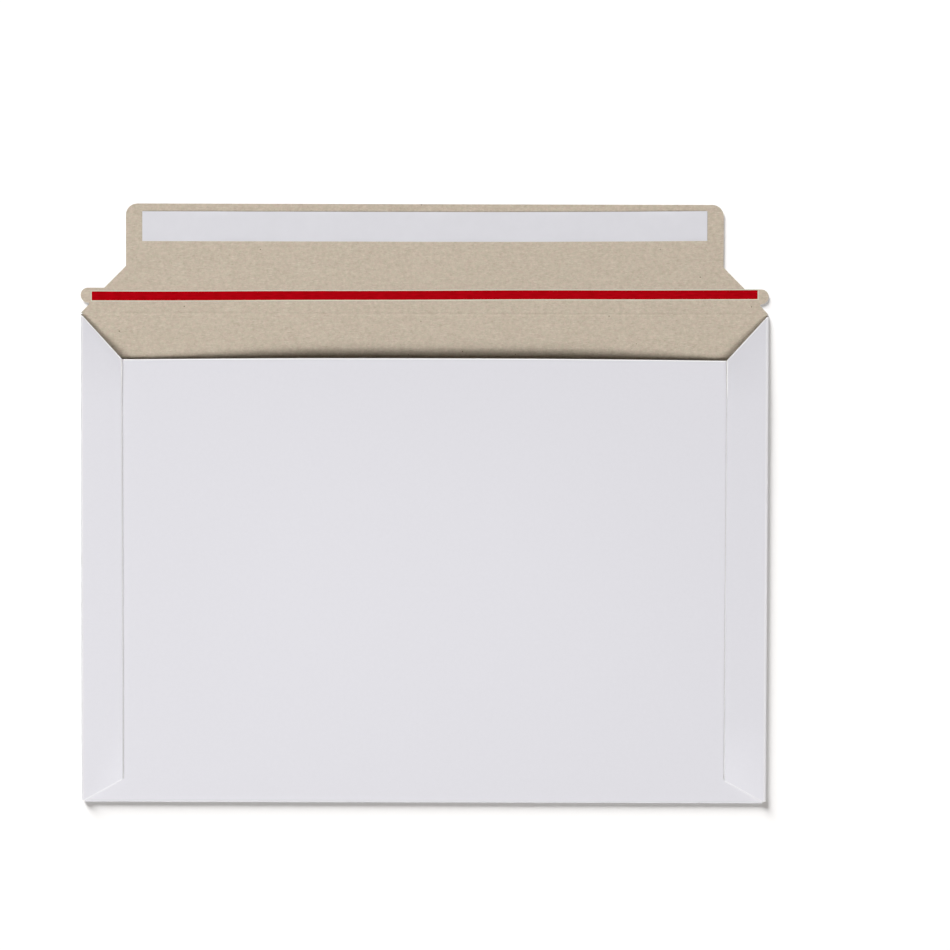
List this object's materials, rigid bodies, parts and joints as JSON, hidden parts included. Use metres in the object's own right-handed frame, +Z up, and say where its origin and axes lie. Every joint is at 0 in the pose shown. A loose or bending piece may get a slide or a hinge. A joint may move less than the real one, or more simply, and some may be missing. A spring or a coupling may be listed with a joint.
{
  "type": "card mailer envelope",
  "caption": "Flat solid-board mailer with glued side flaps, a bowed open mouth, a die-cut closing flap with tear tabs, a red tear tape and a self-seal strip under its liner.",
  "frame": {"origin": "on the surface the mailer lies on, under the middle of the opened blank (body and flap together)", "axes": "+X across the width, +Y from the bottom fold towards the opened flap, +Z up out of the front panel"},
  "size_m": [0.3242, 0.2826, 0.0064],
  "materials": {
    "white_board": "white-lined solid board, smooth and slightly satin",
    "brown_board": "unlined recycled board, matt, with fine fibres",
    "red_film": "thin glossy red tear tape",
    "liner_paper": "siliconised release paper, satin white",
    "hot_melt": "pressure-sensitive hot melt, pale and tacky"
  },
  "bodies": {
    "pocket": {"pocket": "white_board", "seam_glue_left": "hot_melt", "seam_glue_right": "hot_melt"},
    "flap": {"closing_flap": "brown_board", "tear_tape": "red_film", "adhesive_strip": "hot_melt", "release_liner": "liner_paper"}
  },
  "joints": [
    {"name": "flap_fold", "type": "hinge", "parent": "pocket", "child": "flap", "pos_m": [0, 0.0897, 0.0014], "axis": [1, 0, 0], "range_deg": [0, 168]}
  ]
}
